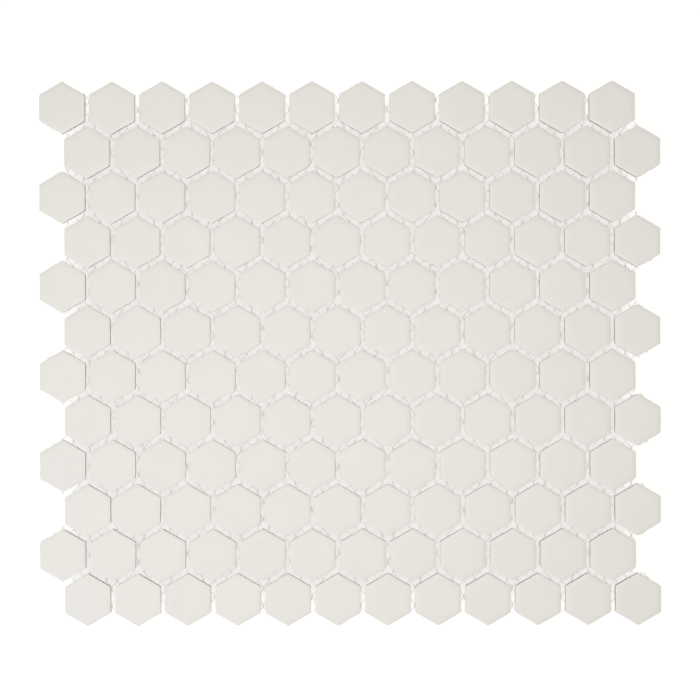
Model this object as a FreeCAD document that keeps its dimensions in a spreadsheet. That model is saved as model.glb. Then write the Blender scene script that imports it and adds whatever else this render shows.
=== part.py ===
import FreeCAD, Part
import math
import os
import Sketcher

# A sheet of unglazed hexagon floor mosaic, lying face up on its bedding side.
# Frame: X to the right and Y up the sheet as it is seen from above, Z out of the walking face.
# The origin is at the middle of the sheet, level with the underside of the net. Lengths are millimetres.
#
# The sheet is 12 rows of 12 pointed-top hexagon tiles. Each second row is set half a tile to the right.
# The tiles are held on a knitted net, whose openings stand on their points. Its strands run across the sheet
# in two slanting families, the weft below and the warp above, and they meet at the knots.
# The net is trimmed back to the toothed outline of the tiles.

ROWS = 12
TILES = 12
NOTCHES = ROWS // 2

# How far the outlines of the cuts run out past the sheet, in millimetres.
CLEAR = 1

os.makedirs("parts", exist_ok=True)
doc = FreeCAD.newDocument("hexagon_mosaic_sheet")
sizes = doc.addObject("Spreadsheet::Sheet", "Sizes")

NAMED_SIZES = (
    ("tile_flats", 22.0),
    ("tile_thickness", 5.0),
    ("wall_draft", 2.0),
    ("arris_width", 1.0),
    ("arris_drop", 0.3),
    ("arris_softening", 0.25),
    ("side_joint", 2.2),
    ("slant_joint", 2.8),
    ("mesh_width", 5.26),
    ("mesh_height", 8.46),
    ("knot_across", -0.28),
    ("knot_up", 4.42),
    ("strand_width", 0.6),
    ("weft_thickness", 0.25),
    ("warp_thickness", 0.25),
    ("net_overhang", 0.3),
)
for number, (name, value) in enumerate(NAMED_SIZES, start=1):
    sizes.set(f"A{number}", name)
    sizes.set(f"B{number}", str(value))
    sizes.setAlias(f"B{number}", name)
doc.recompute()
start = dict(NAMED_SIZES)

# Lengths that follow from the named sizes, written once and used in every binding below.
PITCH = "(Sizes.tile_flats + Sizes.side_joint)"
ROW_PITCH = f"((Sizes.tile_flats + Sizes.slant_joint - {PITCH} / 4) / cos(30 deg))"
CORNER = "(Sizes.tile_flats / sqrt(3))"
HALF_SIDE = "(Sizes.tile_flats / sqrt(3) / 2)"
HALF_WIDTH = f"(({TILES} * {PITCH} + {PITCH} / 2 - Sizes.side_joint) / 2)"
TOP_ROW = f"({(ROWS - 1) / 2} * {ROW_PITCH})"
EDGE_X = f"({HALF_WIDTH} + Sizes.net_overhang)"
EDGE_Y = f"({TOP_ROW} + {CORNER} + Sizes.net_overhang)"
NET_THICKNESS = "(Sizes.weft_thickness + Sizes.warp_thickness)"
LEAN = "(Sizes.mesh_width / Sizes.mesh_height)"


def origin_plane(body, role):
    """The body's own origin plane or axis of that role."""
    return [feature for feature in body.Origin.OriginFeatures if feature.Role == role][0]


def new_body(name):
    body = doc.addObject("PartDesign::Body", name)
    body.Label = name
    body.AllowCompound = True
    return body


def new_sketch(body, name, height):
    """A sketch parallel to the XY plane of the body, at a height given as an expression."""
    sketch = body.newObject("Sketcher::SketchObject", name)
    sketch.AttachmentSupport = [(origin_plane(body, "XY_Plane"), "")]
    sketch.MapMode = "FlatFace"
    sketch.setExpression("AttachmentOffset.Base.z", height)
    return sketch


def outline(sketch, corners):
    """A closed outline through corners that are each held by two bound coordinates from the origin."""
    count = len(corners)
    guess = [FreeCAD.Vector(10 * math.cos(6.28 * k / count), 10 * math.sin(6.28 * k / count), 0)
             for k in range(count)]
    sides = [sketch.addGeometry(Part.LineSegment(guess[k], guess[(k + 1) % count]), False)
             for k in range(count)]
    for k in range(count):
        sketch.addConstraint(Sketcher.Constraint("Coincident", sides[k], 2, sides[(k + 1) % count], 1))
    for k, (x, y) in enumerate(corners):
        bounds = (("DistanceX", "x", x, guess[k].x), ("DistanceY", "y", y, guess[k].y))
        for kind, axis, formula, value in bounds:
            index = sketch.addConstraint(Sketcher.Constraint(kind, -1, 1, sides[k], 1, value))
            sketch.renameConstraint(index, f"corner_{k}_{axis}")
            sketch.setExpression(f"Constraints.corner_{k}_{axis}", formula)


def pattern(body, feature, name, axis, spacing, count, whole=False):
    """Repeats a feature, or the whole body so far, along one of the body's own axes."""
    row = body.newObject("PartDesign::LinearPattern", name)
    if whole:
        row.TransformMode = "Whole shape"
    else:
        row.Originals = [feature]
    row.Direction = (origin_plane(body, axis), [""])
    row.Mode = "Spacing"
    row.setExpression("Offset", spacing)
    row.setExpression("Occurrences", str(count))
    body.Tip = row
    doc.recompute()


def level_edges_above_back(shape):
    """The names of the level edges of a tile, leaving out those of its back."""
    names = []
    for number, edge in enumerate(shape.Edges, start=1):
        heights = [vertex.Z for vertex in edge.Vertexes]
        if max(heights) - min(heights) < 1e-6 and min(heights) > shape.BoundBox.ZMin + 1e-6:
            names.append(f"Edge{number}")
    return names


def tile_row(number):
    """One row of pressed hexagon tiles, with walls that draw in to the back and a softened top arris."""
    body = new_body(f"tile_row_{number + 1:02d}")
    face = new_sketch(body, f"hexagon_{number + 1:02d}", f"{NET_THICKNESS} + Sizes.tile_thickness")
    radius = start["tile_flats"] / math.sqrt(3)
    points = [FreeCAD.Vector(radius * math.cos(math.radians(90 + 60 * k)),
                             radius * math.sin(math.radians(90 + 60 * k)), 0) for k in range(6)]
    ring = face.addGeometry(Part.Circle(FreeCAD.Vector(0, 0, 0), FreeCAD.Vector(0, 0, 1), radius), True)
    sides = [face.addGeometry(Part.LineSegment(points[k], points[(k + 1) % 6]), False) for k in range(6)]
    for k in range(6):
        face.addConstraint(Sketcher.Constraint("Coincident", sides[k], 2, sides[(k + 1) % 6], 1))
        face.addConstraint(Sketcher.Constraint("PointOnObject", sides[k], 1, ring))
    for k in range(1, 6):
        face.addConstraint(Sketcher.Constraint("Equal", sides[0], sides[k]))
    face.addConstraint(Sketcher.Constraint("Coincident", ring, 3, -1, 1))
    face.addConstraint(Sketcher.Constraint("PointOnObject", sides[0], 1, -2))
    index = face.addConstraint(Sketcher.Constraint("Radius", ring, radius))
    face.renameConstraint(index, "corner")
    face.setExpression("Constraints.corner", CORNER)

    blank = body.newObject("PartDesign::Pad", f"blank_{number + 1:02d}")
    blank.Profile = face
    blank.Reversed = True
    blank.setExpression("Length", "Sizes.tile_thickness")
    doc.recompute()

    walls = [f"Face{k}" for k, side in enumerate(blank.Shape.Faces, start=1)
             if abs(side.normalAt(0, 0).z) < 0.5]
    tops = [f"Face{k}" for k, side in enumerate(blank.Shape.Faces, start=1)
            if side.CenterOfMass.z > blank.Shape.BoundBox.ZMax - 1e-6]
    draft = body.newObject("PartDesign::Draft", f"drawn_walls_{number + 1:02d}")
    draft.Base = (blank, walls)
    draft.NeutralPlane = (blank, tops)
    draft.Reversed = True
    draft.setExpression("Angle", "Sizes.wall_draft")
    doc.recompute()

    arris = body.newObject("PartDesign::Chamfer", f"arris_{number + 1:02d}")
    arris.Base = (draft, tops)
    arris.ChamferType = "Two distances"
    arris.setExpression("Size", "Sizes.arris_drop")
    arris.setExpression("Size2", "Sizes.arris_width")
    doc.recompute()

    soft = body.newObject("PartDesign::Chamfer", f"softened_arris_{number + 1:02d}")
    soft.Base = (arris, level_edges_above_back(arris.Shape))
    soft.setExpression("Size", "Sizes.arris_softening")
    doc.recompute()
    pattern(body, None, f"tiles_along_row_{number + 1:02d}", "X_Axis", PITCH, TILES, whole=True)

    shift = f"{PITCH} / 2" if number % 2 else "0"
    body.setExpression("Placement.Base.x", f"Sizes.tile_flats / 2 - {HALF_WIDTH} + {shift}")
    body.setExpression("Placement.Base.y", f"{TOP_ROW} - {number} * {ROW_PITCH}")
    return body


def trimming_notches(body, height, depth, label):
    """Trims a layer of the net to the toothed outline of the tiles.

    A row that is set in leaves a notch with slanted flanks at that side, and the pointed corners of the top
    and bottom rows leave a V between each two tiles.
    """
    flank = f"(({ROW_PITCH} - {HALF_SIDE} * 2) / ({PITCH} / 2))"
    inner_half = f"({HALF_SIDE})"
    outer_half = f"({ROW_PITCH} - {HALF_SIDE} + {flank})"
    bottom_row = f"({TOP_ROW} - {ROWS - 1} * {ROW_PITCH})"
    for side, sign, middle in (("left", "-1", bottom_row), ("right", "1", TOP_ROW)):
        notch = new_sketch(body, f"{label}_{side}_notch_outline", height)
        outer = f"{sign} * ({EDGE_X} + {CLEAR})"
        inner = f"{sign} * ({EDGE_X} - {PITCH} / 2)"
        outline(notch, (
            (outer, f"{middle} + {outer_half}"),
            (outer, f"{middle} - {outer_half}"),
            (inner, f"{middle} - {inner_half}"),
            (inner, f"{middle} + {inner_half}"),
        ))
        cut = body.newObject("PartDesign::Pocket", f"{label}_{side}_notch")
        cut.Profile = notch
        cut.Midplane = True
        cut.setExpression("Length", depth)
        pattern(body, cut, f"{label}_{side}_notches", "Y_Axis", f"2 * {ROW_PITCH}", NOTCHES)
        if side == "right":
            body.Tip.Reversed = True
            doc.recompute()
    slope = f"(({CORNER} - {HALF_SIDE} + Sizes.net_overhang) / ({PITCH} / 2))"
    for side, sign, first in (("top", "1", f"(-1 * {HALF_WIDTH} - Sizes.side_joint / 2)"),
                              ("bottom", "-1", f"({PITCH} / 2 - {HALF_WIDTH} - Sizes.side_joint / 2)")):
        vee = new_sketch(body, f"{label}_{side}_vee_outline", height)
        root = f"{sign} * ({TOP_ROW} + {HALF_SIDE})"
        rim = f"{sign} * ({EDGE_Y} + {slope} * {CLEAR})"
        outline(vee, (
            (first, root),
            (f"{first} + {PITCH} / 2 + {CLEAR}", rim),
            (f"{first} - {PITCH} / 2 - {CLEAR}", rim),
        ))
        cut = body.newObject("PartDesign::Pocket", f"{label}_{side}_vee")
        cut.Profile = vee
        cut.Midplane = True
        cut.setExpression("Length", depth)
        pattern(body, cut, f"{label}_{side}_vees", "X_Axis", PITCH, TILES + 1)


def strand_layer(name, label, lean_sign, bottom, thickness):
    """One family of slanting strands, all parallel and through the knots, trimmed to the tiles.

    The layer starts as one thin sheet, and the spaces between the strands are cut out of it.
    """
    body = new_body(name)
    sheet_outline = new_sketch(body, f"{label}_sheet_outline", bottom)
    outline(sheet_outline, (
        (f"-1 * {EDGE_X}", f"-1 * {EDGE_Y}"),
        (EDGE_X, f"-1 * {EDGE_Y}"),
        (EDGE_X, EDGE_Y),
        (f"-1 * {EDGE_X}", EDGE_Y),
    ))
    sheet = body.newObject("PartDesign::Pad", f"{label}_sheet")
    sheet.Profile = sheet_outline
    sheet.setExpression("Length", thickness)
    body.Tip = sheet
    doc.recompute()
    trimming_notches(body, bottom, f"4 * {thickness}", label)

    high = f"({EDGE_Y} + {CLEAR})"
    rise = f"({lean_sign} * {LEAN} * {high})"
    half_cut = f"(Sizes.strand_width / 2 * sqrt(1 + {LEAN} * {LEAN}))"
    half_count = f"(ceil(({EDGE_X} + {LEAN} * {high}) / Sizes.mesh_width) + 1)"
    first = f"(Sizes.knot_across - {lean_sign} * {LEAN} * Sizes.knot_up - {half_count} * Sizes.mesh_width)"
    left = f"({first} + {half_cut})"
    right = f"({first} + Sizes.mesh_width - {half_cut})"
    space = new_sketch(body, f"{label}_space_outline", bottom)
    outline(space, (
        (f"{left} - {rise}", f"-1 * {high}"),
        (f"{right} - {rise}", f"-1 * {high}"),
        (f"{right} + {rise}", high),
        (f"{left} + {rise}", high),
    ))
    cut = body.newObject("PartDesign::Pocket", f"{label}_space")
    cut.Profile = space
    cut.Midplane = True
    cut.setExpression("Length", f"4 * {thickness}")
    pattern(body, cut, f"{label}_spaces", "X_Axis", "Sizes.mesh_width", f"2 * {half_count}")
    return body


nodes = [tile_row(number) for number in range(ROWS)]
nodes.append(strand_layer("mesh_weft", "weft", "1", "0", "Sizes.weft_thickness"))
nodes.append(strand_layer("mesh_warp", "warp", "-1", "Sizes.weft_thickness", "Sizes.warp_thickness"))
doc.recompute()

for thing in doc.Objects:
    if "Invalid" in thing.State or "Error" in thing.State:
        raise RuntimeError(f"{thing.Name} didn't build")
for body in nodes:
    if body.Shape.isNull() or not body.Shape.isValid():
        raise RuntimeError(f"{body.Name} has no sound shape")
    print(body.Name, len(body.Shape.Solids), body.Shape.BoundBox, round(body.Shape.Volume, 2))
    body.Shape.exportStep(f"parts/{body.Name}.step")
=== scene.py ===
import math
import random

import bpy
import numpy as np
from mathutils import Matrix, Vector


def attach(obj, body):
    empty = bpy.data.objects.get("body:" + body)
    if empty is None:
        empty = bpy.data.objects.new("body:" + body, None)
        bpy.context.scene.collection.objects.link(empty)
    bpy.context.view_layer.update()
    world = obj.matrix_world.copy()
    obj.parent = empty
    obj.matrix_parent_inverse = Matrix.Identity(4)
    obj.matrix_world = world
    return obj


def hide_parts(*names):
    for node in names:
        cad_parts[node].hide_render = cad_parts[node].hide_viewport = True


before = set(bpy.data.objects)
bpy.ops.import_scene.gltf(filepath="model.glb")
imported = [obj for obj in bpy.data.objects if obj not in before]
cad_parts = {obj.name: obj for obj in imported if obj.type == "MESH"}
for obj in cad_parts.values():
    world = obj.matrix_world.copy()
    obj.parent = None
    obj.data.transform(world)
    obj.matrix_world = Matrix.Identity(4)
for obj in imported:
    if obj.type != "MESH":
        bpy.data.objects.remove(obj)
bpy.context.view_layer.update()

MM = 0.001

# The sheet's own sizes in millimetres, the same as the solids'.
ROWS = 12
TILES = 12
FLATS = 22.0
THICK = 5.0
SIDE_JOINT = 2.2
SLANT_JOINT = 2.8
NET_THICK = 0.5
OVERHANG = 0.3
PITCH = FLATS + SIDE_JOINT
ROW_PITCH = (FLATS + SLANT_JOINT - PITCH / 4) / math.cos(math.radians(30))
CORNER = FLATS / math.sqrt(3)
HALF_SIDE = CORNER / 2
HALF_WIDTH = (TILES * PITCH + PITCH / 2 - SIDE_JOINT) / 2
TOP_ROW = (ROWS - 1) / 2 * ROW_PITCH
HALF_HEIGHT = TOP_ROW + CORNER
TOP = NET_THICK + THICK

# The knitted net: its openings' spacing across and up, and one knot's place from the middle of the sheet.
MESH_W = 5.26
MESH_H = 8.46
KNOT_X = -0.28
KNOT_Y = 4.42

# The range of a random phase.
FULL_TURN = 6.28


def tile_centre(row, column):
    x = FLATS / 2 - HALF_WIDTH + (PITCH / 2 if row % 2 else 0) + column * PITCH
    return x, TOP_ROW - row * ROW_PITCH


def mesh_object(name, verts, faces, material, sharp_angle=None):
    """A smooth-shaded piece from vertices in millimetres. Edges above the angle in degrees stay sharp."""
    mesh = bpy.data.meshes.new(name)
    mesh.from_pydata([(x * MM, y * MM, z * MM) for x, y, z in verts], [], faces)
    mesh.validate()
    mesh.polygons.foreach_set("use_smooth", [True] * len(mesh.polygons))
    if sharp_angle is not None:
        mesh.set_sharp_from_angle(angle=math.radians(sharp_angle))
    mesh.materials.append(material)
    mesh.update()
    piece = bpy.data.objects.new(name, mesh)
    bpy.context.scene.collection.objects.link(piece)
    return piece


# Shader nodes

def feed(tree, node, inputs):
    """Gives each input of a node a value, or the socket that feeds it."""
    for name, value in inputs.items():
        if isinstance(value, bpy.types.NodeSocket):
            tree.links.new(value, node.inputs[name])
        else:
            node.inputs[name].default_value = value


def add(tree, kind, inputs, operation=None):
    node = tree.nodes.new(f"ShaderNode{kind}")
    if operation is not None:
        node.operation = operation
    feed(tree, node, inputs)
    return node


def new_material(name):
    material = bpy.data.materials.new(name)
    material.use_nodes = True
    material.node_tree.nodes.clear()
    return material, material.node_tree


def principled(tree, inputs):
    shader = add(tree, "BsdfPrincipled", inputs)
    add(tree, "OutputMaterial", {"Surface": shader.outputs["BSDF"]})


def object_place(tree):
    return add(tree, "TexCoord", {}).outputs["Object"]


def noise(tree, place, scale, detail):
    return add(tree, "TexNoise", {"Vector": place, "Scale": scale, "Detail": detail}).outputs["Fac"]


def two_tones(tree, value, tones):
    """A colour ramp between two tones, each a position and a colour."""
    ramp = add(tree, "ValToRGB", {"Fac": value})
    for element, (position, colour) in zip(ramp.color_ramp.elements, tones):
        element.position = position
        element.color = (*colour, 1)
    return ramp.outputs["Color"]


def spread(tree, value, low, high, start=0.0, end=1.0):
    """Maps a value from the range of start to end to the range of low to high."""
    ranges = {"Value": value, "From Min": start, "From Max": end, "To Min": low, "To Max": high}
    return add(tree, "MapRange", ranges).outputs["Result"]


def bumps(tree, height, strength, distance):
    inputs = {"Height": height, "Strength": strength, "Distance": distance}
    return add(tree, "Bump", inputs).outputs["Normal"]


# Materials. Scales are in turns per metre, and the depth of bumps is in metres.

PORCELAIN_TONES = ((0.3, (0.751, 0.731, 0.685)), (0.7, (0.766, 0.741, 0.696)))
MOTTLE_SCALE = 70
GRAIN_SCALE = 3500
GRAIN_ROUGHNESS = (0.48, 0.64)
GRAIN_DEPTH = 0.00006

# The yarn's two tones. Its colour follows the height of the plies and the fuzz: darkest where the plies lie
# low, as painted shade in the grooves between them, and a little uneven in tone from the fuzz.
YARN_TONES_WITH_GROOVE_SHADE = ((0.2, (0.87, 0.858, 0.83)), (0.7, (0.94, 0.928, 0.90)))
# The yarn's plies, the length in millimetres over which they turn once past one another, and the period of a
# wave texture of scale 1.
PLIES = 3
PLY_PITCH = 1.0
WAVE_PERIOD = 2 * math.pi / 20
PLY_WANDER = 0.6
FUZZ_SCALE = 5200
FUZZ_SHARE = 0.4
YARN_DEPTH = 0.00008

GLUE_TONES = ((0.35, (0.88, 0.87, 0.84)), (0.65, (0.94, 0.93, 0.91)))
BLOTCH_SCALE = 600
GLUE_ROUGHNESS = (0.4, 0.65)
GLUE_DEPTH = 0.0001


def porcelain_material():
    """Matte unglazed porcelain: a warm white body with a fine grain and a faint mottle."""
    material, tree = new_material("porcelain")
    place = object_place(tree)
    body = two_tones(tree, noise(tree, place, MOTTLE_SCALE, 3), PORCELAIN_TONES)
    tint = tree.nodes.new("ShaderNodeAttribute")
    tint.attribute_type = "GEOMETRY"
    tint.attribute_name = "tint"
    tinted = tree.nodes.new("ShaderNodeMix")
    tinted.data_type = "RGBA"
    tinted.blend_type = "MULTIPLY"
    feed(tree, tinted, {"Factor": 1.0, "A": body, "B": tint.outputs["Color"]})
    grain = noise(tree, place, GRAIN_SCALE, 2)
    principled(tree, {
        "Base Color": tinted.outputs["Result"],
        "Roughness": spread(tree, grain, *GRAIN_ROUGHNESS),
        "Specular IOR Level": 0.5,
        "Normal": bumps(tree, grain, 0.3, GRAIN_DEPTH),
    })
    return material


def yarn_material():
    """White knitted yarn: three plies twisted together, with a fine uneven fuzz, and painted shade in the
    grooves between the plies.
    """
    material, tree = new_material("net_yarn")
    along = tree.nodes.new("ShaderNodeUVMap")
    along.uv_map = "twist"
    turns = (WAVE_PERIOD / PLY_PITCH, WAVE_PERIOD * PLIES, 0)
    slant = add(tree, "VectorMath", {}, "DOT_PRODUCT")
    feed(tree, slant, {0: along.outputs["UV"], 1: turns})
    plies = add(tree, "TexWave", {"Vector": slant.outputs["Value"], "Scale": 1, "Distortion": PLY_WANDER})
    fuzz = noise(tree, object_place(tree), FUZZ_SCALE, 4)
    both = tree.nodes.new("ShaderNodeMix")
    both.data_type = "FLOAT"
    feed(tree, both, {"Factor": FUZZ_SHARE, "A": plies.outputs["Fac"], "B": fuzz})
    height = both.outputs["Result"]
    principled(tree, {
        # Darker where the plies and fuzz lie low: painted shade in the grooves between the plies.
        "Base Color": two_tones(tree, height, YARN_TONES_WITH_GROOVE_SHADE),
        "Roughness": 0.75,
        "Sheen Weight": 0.2,
        "Normal": bumps(tree, height, 0.35, YARN_DEPTH),
    })
    return material


def glue_material():
    """Dried white glue: a little uneven in colour and gloss."""
    material, tree = new_material("adhesive")
    blotch = noise(tree, object_place(tree), BLOTCH_SCALE, 3)
    principled(tree, {
        "Base Color": two_tones(tree, blotch, GLUE_TONES),
        "Roughness": spread(tree, blotch, *GLUE_ROUGHNESS),
        "Specular IOR Level": 0.4,
        "Normal": bumps(tree, blotch, 0.3, GLUE_DEPTH),
    })
    return material


# Tiles

CORNER_RADIUS = 1.0
LEAST_RADIUS = 0.25
CORNER_POINTS = 4
SIDE_POINTS = 2
RING_POINTS = 6 * (CORNER_POINTS + SIDE_POINTS)
TILE_SHARP = 40
TILE_SEED = 100
# The face and the softened arris: inset from the wall, and drop below the face.
FACE_RINGS = (
    (8.2, 0.0), (5.6, 0.0), (3.6, 0.0), (2.6, 0.006), (2.0, 0.022), (1.5, 0.052), (1.1, 0.096),
    (0.75, 0.150), (0.46, 0.202), (0.25, 0.241), (0.08, 0.274), (0.025, 0.296), (0.006, 0.345), (0.0, 0.6),
)
# The wall below the arris: drop below the face. Its inset follows the draft.
WALL_TOP = FACE_RINGS[-1][1]
WALL_DROPS = (1.3, 2.6, 3.9, 4.72)
DRAFT = math.tan(math.radians(2.0))
# The inset of the tile's foot.
FOOT = THICK * DRAFT
# The keyed back: inset from the drafted wall, and height above the plane that the tile stands on.
BACK_RINGS = (
    (0.28, 0.0), (1.9, 0.0), (2.25, 0.32), (4.3, 0.32), (4.65, 0.0), (5.9, 0.0), (6.25, 0.32), (8.2, 0.32),
)
# The most that a tile is out of true: its turn in degrees, its shift and bulges in millimetres, how far its
# face lies low, and the slope of its face. The room keeps a tipped face below its highest place.
TILE_TURN = 0.25
TILE_SHIFT = 0.07
BULGES = 4
BULGE = 0.022
FACE_SINK = 0.05
FACE_TIP = 0.0012
TIP_ROOM = 0.013
# The least shade of a tile, and the least green and blue against its red.
LEAST_SHADE = 0.992
LEAST_GREEN = 0.998
LEAST_BLUE = 0.994


def polar(reach, degrees):
    return reach * math.cos(math.radians(degrees)), reach * math.sin(math.radians(degrees))


def hexagon_ring(inset):
    """A ring of points round a hexagon with rounded corners, inset from the tile's outline."""
    radius = max(CORNER_RADIUS - inset, LEAST_RADIUS)
    reach = (FLATS / 2 - inset - radius) / math.cos(math.radians(30))
    points = []
    for k in range(6):
        heading = 90 - 60 * k
        cx, cy = polar(reach, heading)
        for n in range(CORNER_POINTS):
            x, y = polar(radius, heading + 30 - 60 * n / (CORNER_POINTS - 1))
            points.append((cx + x, cy + y))
        nx, ny = polar(reach, heading - 60)
        out_x, out_y = polar(radius, heading - 30)
        for n in range(1, SIDE_POINTS + 1):
            t = n / (SIDE_POINTS + 1)
            points.append((cx + (nx - cx) * t + out_x, cy + (ny - cy) * t + out_y))
    return points


def tile_profile():
    """All the rings of a tile from the middle of its face round to the middle of its back."""
    rings = [(hexagon_ring(inset), TOP - drop) for inset, drop in FACE_RINGS]
    for drop in WALL_DROPS:
        rings.append((hexagon_ring((drop - WALL_TOP) * DRAFT), TOP - drop))
    for inset, rise in BACK_RINGS:
        rings.append((hexagon_ring(FOOT + inset), NET_THICK + rise))
    return rings


RINGS = tile_profile()


def tile_mesh(rng, cx, cy, verts, faces, tints):
    """Adds one pressed tile, a little out of true as each real one is."""
    turn = math.radians(rng.uniform(-TILE_TURN, TILE_TURN))
    shift_x, shift_y = rng.uniform(-TILE_SHIFT, TILE_SHIFT), rng.uniform(-TILE_SHIFT, TILE_SHIFT)
    sink = rng.uniform(0.0, FACE_SINK)
    tip_x, tip_y = rng.uniform(-FACE_TIP, FACE_TIP), rng.uniform(-FACE_TIP, FACE_TIP)
    waves = [(rng.uniform(0, FULL_TURN), rng.uniform(-BULGE, BULGE)) for _ in range(BULGES)]
    shade = rng.uniform(LEAST_SHADE, 1.0)
    tint = (shade, shade * rng.uniform(LEAST_GREEN, 1.0), shade * rng.uniform(LEAST_BLUE, 1.0), 1.0)
    cos_t, sin_t = math.cos(turn), math.sin(turn)
    base = len(verts)

    def put(x, y, z):
        around = math.atan2(y, x)
        bend = sum(size * math.cos((n + 2) * around + phase) for n, (phase, size) in enumerate(waves))
        grow = 1 + bend / (FLATS / 2)
        x, y = x * grow, y * grow
        height = max(0.0, (z - NET_THICK) / THICK)
        z = z - height * (sink + TIP_ROOM + tip_x * x + tip_y * y)
        verts.append((cx + shift_x + x * cos_t - y * sin_t, cy + shift_y + x * sin_t + y * cos_t, z))
        tints.append(tint)

    put(0.0, 0.0, TOP)
    for points, z in RINGS:
        for x, y in points:
            put(x, y, z)
    put(0.0, 0.0, NET_THICK + BACK_RINGS[-1][1])
    last = len(verts) - 1
    n = RING_POINTS
    for k in range(n):
        faces.append((base, base + 1 + (k + 1) % n, base + 1 + k))
    for r in range(len(RINGS) - 1):
        a, b = base + 1 + r * n, base + 1 + (r + 1) * n
        for k in range(n):
            faces.append((a + k, a + (k + 1) % n, b + (k + 1) % n, b + k))
    a = base + 1 + (len(RINGS) - 1) * n
    for k in range(n):
        faces.append((a + k, a + (k + 1) % n, last))


def tile_rows(material):
    for row in range(ROWS):
        rng = random.Random(TILE_SEED + row)
        verts, faces, tints = [], [], []
        for column in range(TILES):
            cx, cy = tile_centre(row, column)
            tile_mesh(rng, cx, cy, verts, faces, tints)
        piece = mesh_object(f"tiles_{row + 1:02d}", verts, faces, material, TILE_SHARP)
        layer = piece.data.color_attributes.new("tint", "FLOAT_COLOR", "POINT")
        layer.data.foreach_set("color", [value for tint in tints for value in tint])
        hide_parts(f"tile_row_{row + 1:02d}")
        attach(piece, "root")


# Net

YARN_SIDES = 5
# Half the yarn's width and height, and the height of its middle: between the knots, and in them.
YARN = (0.19, 0.13, 0.34)
KNOT = (0.22, 0.17, 0.31)
# The least and most of the yarn's width along its run, as a share of what it should be.
SWELL = (0.9, 1.1)
KNOT_HALF = 1.0
KNOT_GAP = 0.25
# How far the bend at each end of a knot starts before it, in millimetres, and ends after it, as a share of
# the way to the middle between two knots.
BEND_BEFORE = 0.25
BEND_AFTER = 0.2
# How far chance moves a knot across and up, and a bend across.
KNOT_WANDER_X = 0.05
KNOT_WANDER_Y = 0.12
BEND_WANDER = 0.02
# The steps that each length of a chain is cut off by.
CUT_STEPS = 8
NET_SEED = 7


def sheet_outline():
    """The toothed outline that the middles of the yarns are trimmed to, as a polygon."""
    edge = OVERHANG - KNOT[0] * SWELL[1]
    points = []
    for column in range(TILES):
        x, y = tile_centre(0, column)
        points.append((x, y + CORNER + edge))
        if column < TILES - 1:
            points.append((x + PITCH / 2, y + HALF_SIDE))
    for row in range(ROWS):
        x, y = tile_centre(row, TILES - 1)
        points.append((x + FLATS / 2 + edge, y + HALF_SIDE))
        points.append((x + FLATS / 2 + edge, y - HALF_SIDE))
    for column in reversed(range(TILES)):
        x, y = tile_centre(ROWS - 1, column)
        points.append((x, y - CORNER - edge))
        if column > 0:
            points.append((x - PITCH / 2, y - HALF_SIDE))
    for row in reversed(range(ROWS)):
        x, y = tile_centre(row, 0)
        points.append((x - FLATS / 2 - edge, y - HALF_SIDE))
        points.append((x - FLATS / 2 - edge, y + HALF_SIDE))
    return points


def inside(polygon, xs, ys):
    """Which of the points lie inside the polygon."""
    hit = np.zeros(len(xs), bool)
    for k, (x1, y1) in enumerate(polygon):
        x2, y2 = polygon[(k + 1) % len(polygon)]
        if y1 == y2:
            continue
        between = (ys > min(y1, y2)) & (ys <= max(y1, y2))
        cross = x1 + (ys - y1) * (x2 - x1) / (y2 - y1)
        hit ^= between & (xs < cross)
    return hit


def chain_path(rng, chain):
    """The middle line of one chain up the sheet, which meets its left and right neighbours in turn."""
    reach = int(2 * HALF_HEIGHT / MESH_H) + 2
    straight = KNOT_HALF - BEND_BEFORE
    bent = KNOT_HALF + BEND_AFTER * (MESH_H / 4 - KNOT_HALF)
    bends = (
        (-bent, BEND_AFTER, YARN), (-straight, 0, KNOT),
        (straight, 0, KNOT), (bent, BEND_AFTER, YARN),
    )
    path = []
    for m in range(-reach, reach + 1):
        y = KNOT_Y + m * MESH_H / 2 + rng.uniform(-KNOT_WANDER_Y, KNOT_WANDER_Y)
        left = (chain + m) % 2 == 0
        x = KNOT_X + (chain if left else chain + 1) * MESH_W / 2 + (KNOT_GAP if left else -KNOT_GAP)
        x += rng.uniform(-KNOT_WANDER_X, KNOT_WANDER_X)
        turn = MESH_W / 4 - KNOT_GAP if left else KNOT_GAP - MESH_W / 4
        for rise, side, form in bends:
            path.append((x + side * turn + rng.uniform(-BEND_WANDER, BEND_WANDER), y + rise, form))
        path.append((x + turn, y + MESH_H / 4, YARN))
    return path


def cut_runs(path, polygon):
    """The stretches of a path inside the polygon, each cut off at the outline."""
    fine = []
    for (x1, y1, form1), (x2, y2, form2) in zip(path, path[1:]):
        fine.append((x1, y1, form1, True))
        for n in range(1, CUT_STEPS):
            x, y = x1 + (x2 - x1) * n / CUT_STEPS, y1 + (y2 - y1) * n / CUT_STEPS
            fine.append((x, y, form1 if n < CUT_STEPS / 2 else form2, False))
    fine.append((*path[-1], True))
    within = inside(polygon, np.array([p[0] for p in fine]), np.array([p[1] for p in fine]))
    runs, run = [], []
    for k, (x, y, form, kept) in enumerate(fine):
        if within[k]:
            ends = k + 1 == len(fine) or not within[k + 1]
            if kept or not run or ends:
                run.append((x, y, form))
        elif run:
            runs.append(run)
            run = []
    if run:
        runs.append(run)
    return [r for r in runs if len(r) > 1]


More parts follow.
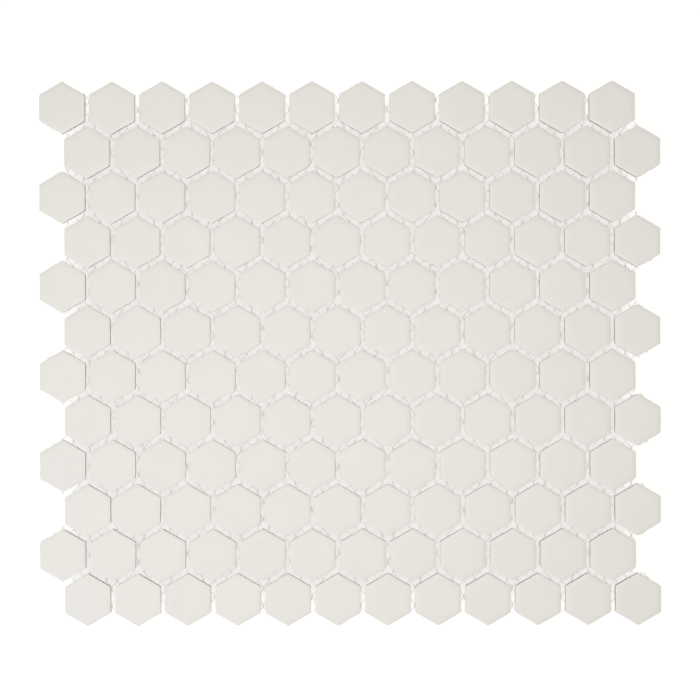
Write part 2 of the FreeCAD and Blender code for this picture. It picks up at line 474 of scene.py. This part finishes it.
def tube(run, verts, faces, twists, rng):
    """A closed yarn along a run of points. The twists are each face corner's place along and around it."""
    base = len(verts)
    count = len(run)
    reached = [0.0]
    for (x0, y0, _), (x1, y1, _) in zip(run, run[1:]):
        reached.append(reached[-1] + math.hypot(x1 - x0, y1 - y0))
    for k, (x, y, (wide, high, middle)) in enumerate(run):
        x0, y0, _ = run[max(k - 1, 0)]
        x1, y1, _ = run[min(k + 1, count - 1)]
        length = math.hypot(x1 - x0, y1 - y0) or 1.0
        nx, ny = (y1 - y0) / length, -(x1 - x0) / length
        swell = rng.uniform(*SWELL)
        for n in range(YARN_SIDES):
            a = math.pi * (2 * n + 1) / YARN_SIDES + math.pi / 2
            side = wide * swell * math.cos(a)
            verts.append((x + nx * side, y + ny * side, middle + high * math.sin(a)))
    for k in range(count - 1):
        a, b = base + k * YARN_SIDES, base + (k + 1) * YARN_SIDES
        for n in range(YARN_SIDES):
            faces.append((a + n, b + n, b + (n + 1) % YARN_SIDES, a + (n + 1) % YARN_SIDES))
            here, there = n / YARN_SIDES, (n + 1) / YARN_SIDES
            twists += [reached[k], here, reached[k + 1], here, reached[k + 1], there, reached[k], there]
    faces.append(tuple(base + n for n in range(YARN_SIDES)))
    faces.append(tuple(base + (count - 1) * YARN_SIDES + n for n in reversed(range(YARN_SIDES))))
    for end in (0, -1):
        for n in range(YARN_SIDES):
            twists += [reached[end], n / YARN_SIDES]


def knitted_net(material):
    polygon = sheet_outline()
    across = HALF_WIDTH / (MESH_W / 2)
    chains = range(int(-across) - 2, int(across) + 3)
    for name, parity, node in (("net_even_chains", 0, "mesh_weft"), ("net_odd_chains", 1, "mesh_warp")):
        rng = random.Random(NET_SEED + parity)
        verts, faces, twists = [], [], []
        for chain in chains:
            if chain % 2 != parity:
                continue
            for run in cut_runs(chain_path(rng, chain), polygon):
                tube(run, verts, faces, twists, rng)
        piece = mesh_object(name, verts, faces, material)
        layer = piece.data.uv_layers.new(name="twist")
        layer.uv.foreach_set("vector", twists)
        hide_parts(node)
        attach(piece, "root")


# Glue

RIM_SIDE_POINTS = 14
MIDDLE_SIDE_POINTS = 5
GLUE_WAVES = 5
GLUE_SHARP = 60
GLUE_SEED = 41
# The least and most that the glue comes out of a tile's foot, beyond the face's outline, and that its inner
# edges wander.
OOZE = (-0.3, 0.62)
INNER_WANDER = (-0.35, 0.35)
# How far the glue may stand out of the sheet's outermost tiles.
GLUE_EDGE = 0.26
# Each ring of a band of glue: inset, height, how far it follows the outer and the inner edge, and the most
# that chance moves it up or down.
RIM_GLUE = (
    (FOOT + 0.06, 0.52, 0, 0, 0.02), (0.08, 0.44, 1, 0, 0.05), (0.0, 0.34, 1, 0, 0.05),
    (0.08, 0.28, 1, 0, 0.03), (FOOT + 0.5, 0.33, 0, 0, 0.04), (1.5, 0.35, 0, 1, 0.04), (1.7, 0.52, 0, 1, 0),
)
MIDDLE_GLUE = (
    (FOOT + 4.75, 0.52, 0, 1, 0), (FOOT + 4.95, 0.36, 0, 1, 0.04), (FOOT + 5.6, 0.36, 0, 1, 0.04),
    (FOOT + 5.8, 0.52, 0, 1, 0),
)


def hexagon_point(side, along, inset):
    """A point on a hexagon inset from the tile's outline, a share of the way along one of its sides."""
    reach = (FLATS / 2 - inset) / math.cos(math.radians(30))
    x1, y1 = polar(reach, 90 - 60 * side)
    x2, y2 = polar(reach, 30 - 60 * side)
    return x1 * (1 - along) + x2 * along, y1 * (1 - along) + y2 * along


def glue_lines(rng, count, least, most):
    """How far the edge of the glue wanders round a tile: slow waves with a few larger lumps on them."""
    waves = [(rng.randint(2, 9), rng.uniform(0, FULL_TURN), rng.uniform(0.3, 1.0)) for _ in range(GLUE_WAVES)]
    total = sum(size for _, _, size in waves)
    out = []
    for k in range(count):
        a = 2 * math.pi * k / count
        slow = sum(size * math.sin(n * a + phase) for n, phase, size in waves) / total
        share = 0.2 + 0.2 * slow + 0.6 * rng.random() ** 8
        out.append(least + (most - least) * min(1.0, max(0.0, share)))
    return out


def glue_band(rng, cx, cy, side_points, profile, verts, faces):
    """One band of glue round a tile, through the rings of the profile."""
    count = 6 * side_points
    base = len(verts)
    limit_x = HALF_WIDTH + GLUE_EDGE
    limit_y = HALF_HEIGHT + GLUE_EDGE
    outer = glue_lines(rng, count, *OOZE)
    inner = glue_lines(rng, count, *INNER_WANDER)
    for inset, height, on_outer, on_inner, jitter in profile:
        for k in range(count):
            side, step = divmod(k, side_points)
            moved = inset - on_outer * outer[k] + on_inner * inner[k]
            x, y = hexagon_point(side, step / side_points, moved)
            x = min(limit_x, max(-limit_x, cx + x))
            y = min(limit_y, max(-limit_y, cy + y))
            verts.append((x, y, height + rng.uniform(-jitter, jitter)))
    for r in range(len(profile) - 1):
        a, b = base + r * count, base + (r + 1) * count
        for k in range(count):
            n = (k + 1) % count
            faces.append((a + k, a + n, b + n, b + k))


def glue(material):
    """The glue between the net and the lands of each tile's back, with a little pressed out at its foot."""
    rng = random.Random(GLUE_SEED)
    verts, faces = [], []
    for row in range(ROWS):
        for column in range(TILES):
            cx, cy = tile_centre(row, column)
            glue_band(rng, cx, cy, RIM_SIDE_POINTS, RIM_GLUE, verts, faces)
            glue_band(rng, cx, cy, MIDDLE_SIDE_POINTS, MIDDLE_GLUE, verts, faces)
    piece = mesh_object("glue", verts, faces, material, GLUE_SHARP)
    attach(piece, "root")


# Floor, light and camera. Places here are in metres.

FLOOR_REACH = 3.0
FLOOR_HEIGHT = -0.00005
FLOOR_COLOUR = (0.88, 0.88, 0.87, 1)
# What a ray from the camera meets: a dark floor that takes the shadow, and a glow on it, of one strength
# under the sheet and another round it. The weaker glow under the sheet is painted shade on the floor seen
# through the joints. Over RISE_RANGE from the middle the glow rises by GLOW_RISE more.
SHADOW_COLOUR = (0.32, 0.317, 0.31, 1)
GLOW_COLOUR = (1, 0.991, 0.972, 1)
GLOW_LEVELS_SHADED_UNDER_SHEET = (0.551, 0.746)
GLOW_RISE = 0.3
RISE_RANGE = (0.3, 1.2)


def glow_level(tree):
    """The strength of the floor's glow, which changes over the outermost tiles and again far out.
    It is weaker under the sheet: painted shade on the floor seen through the joints.
    """
    place = object_place(tree)
    apart = add(tree, "SeparateXYZ", {"Vector": place})
    outside = []
    for axis, reach in (("X", HALF_WIDTH), ("Y", HALF_HEIGHT)):
        away = add(tree, "Math", {}, "ABSOLUTE")
        feed(tree, away, {0: apart.outputs[axis]})
        fade = tree.nodes.new("ShaderNodeMapRange")
        fade.interpolation_type = "SMOOTHSTEP"
        feed(tree, fade, {
            "Value": away.outputs["Value"],
            "From Min": (reach - PITCH) * MM,
            "From Max": (reach - PITCH / 4) * MM,
        })
        outside.append(fade.outputs["Result"])
    most = add(tree, "Math", {0: outside[0], 1: outside[1]}, "MAXIMUM")
    # Weaker under the sheet than round it: painted shade on the floor seen through the joints.
    glow_shaded_under_sheet = spread(tree, most.outputs["Value"], *GLOW_LEVELS_SHADED_UNDER_SHEET)
    distance = add(tree, "VectorMath", {0: place}, "LENGTH")
    rise = spread(tree, distance.outputs["Value"], 0.0, GLOW_RISE, *RISE_RANGE)
    return add(tree, "Math", {0: glow_shaded_under_sheet, 1: rise}, "ADD").outputs["Value"]


def floor():
    """A white floor that takes a faint shadow. To the camera it is whiter round the sheet than under it,
    where the weaker glow is painted shade on the floor seen through the joints.
    """
    material, tree = new_material("floor")
    plain = add(tree, "BsdfDiffuse", {"Color": FLOOR_COLOUR})
    shadow = add(tree, "BsdfDiffuse", {"Color": SHADOW_COLOUR})
    glow = add(tree, "Emission", {"Color": GLOW_COLOUR, "Strength": glow_level(tree)})
    both = add(tree, "AddShader", {0: shadow.outputs["BSDF"], 1: glow.outputs["Emission"]})
    ray = add(tree, "LightPath", {}).outputs
    seen = add(tree, "Math", {0: ray["Is Camera Ray"], 1: ray["Is Glossy Ray"]}, "MAXIMUM")
    also = add(tree, "Math", {0: seen.outputs["Value"], 1: ray["Is Transmission Ray"]}, "MAXIMUM")
    mix = add(tree, "MixShader", {
        "Fac": also.outputs["Value"],
        1: plain.outputs["BSDF"],
        2: both.outputs["Shader"],
    })
    add(tree, "OutputMaterial", {"Surface": mix.outputs["Shader"]})
    mesh = bpy.data.meshes.new("floor")
    far = FLOOR_REACH
    corners = [(x, y, FLOOR_HEIGHT) for x, y in ((-far, -far), (far, -far), (far, far), (-far, far))]
    mesh.from_pydata(corners, [], [(0, 1, 2, 3)])
    mesh.materials.append(material)
    piece = bpy.data.objects.new("floor", mesh)
    bpy.context.scene.collection.objects.link(piece)


# Each lamp: name, place, size, power in watts, and colour. Both look at the middle of the sheet.
LAMPS = (
    ("key", (-0.022, -0.022, 1.2), 0.1, 8.75, (1.0, 0.984, 0.953)),
    ("side", (-0.69, -0.48, 0.38), 0.35, 2.5, (0.80, 0.87, 1.0)),
)
# The white world's strength as a light, and as the camera sees it.
WORLD_LEVELS = (0.3, 1.0)


def light():
    for name, place, size, power, colour in LAMPS:
        data = bpy.data.lights.new(name, "AREA")
        data.shape = "SQUARE"
        data.size = size
        data.energy = power
        data.color = colour
        lamp = bpy.data.objects.new(name, data)
        lamp.location = place
        lamp.rotation_euler = (-Vector(place)).to_track_quat("-Z", "Y").to_euler()
        bpy.context.scene.collection.objects.link(lamp)
    world = bpy.data.worlds.new("studio")
    world.use_nodes = True
    tree = world.node_tree
    ray = add(tree, "LightPath", {}).outputs
    level = spread(tree, ray["Is Camera Ray"], *WORLD_LEVELS)
    feed(tree, tree.nodes["Background"], {"Color": (1, 1, 1, 1), "Strength": level})
    bpy.context.scene.world = world


# The photo's width and scale, the camera's distance from the tiles' faces, its place beside the sheet's
# middle, and its roll in degrees.
PICTURE_PX = 700
PX_PER_MM = 2.068
DISTANCE = 1.08
CAMERA_X = -0.00002
CAMERA_Y = 0.00166
CAMERA_ROLL = -0.13


def camera():
    data = bpy.data.cameras.new("camera")
    data.sensor_fit = "HORIZONTAL"
    data.angle = 2 * math.atan(PICTURE_PX / 2 / PX_PER_MM * MM / DISTANCE)
    view = bpy.data.objects.new("camera", data)
    view.location = (CAMERA_X, CAMERA_Y, DISTANCE + TOP * MM)
    view.rotation_euler = (0, 0, math.radians(CAMERA_ROLL))
    bpy.context.scene.collection.objects.link(view)
    bpy.context.scene.camera = view


bpy.context.scene.view_settings.view_transform = "Standard"
tile_rows(porcelain_material())
knitted_net(yarn_material())
glue(glue_material())
floor()
light()
camera()
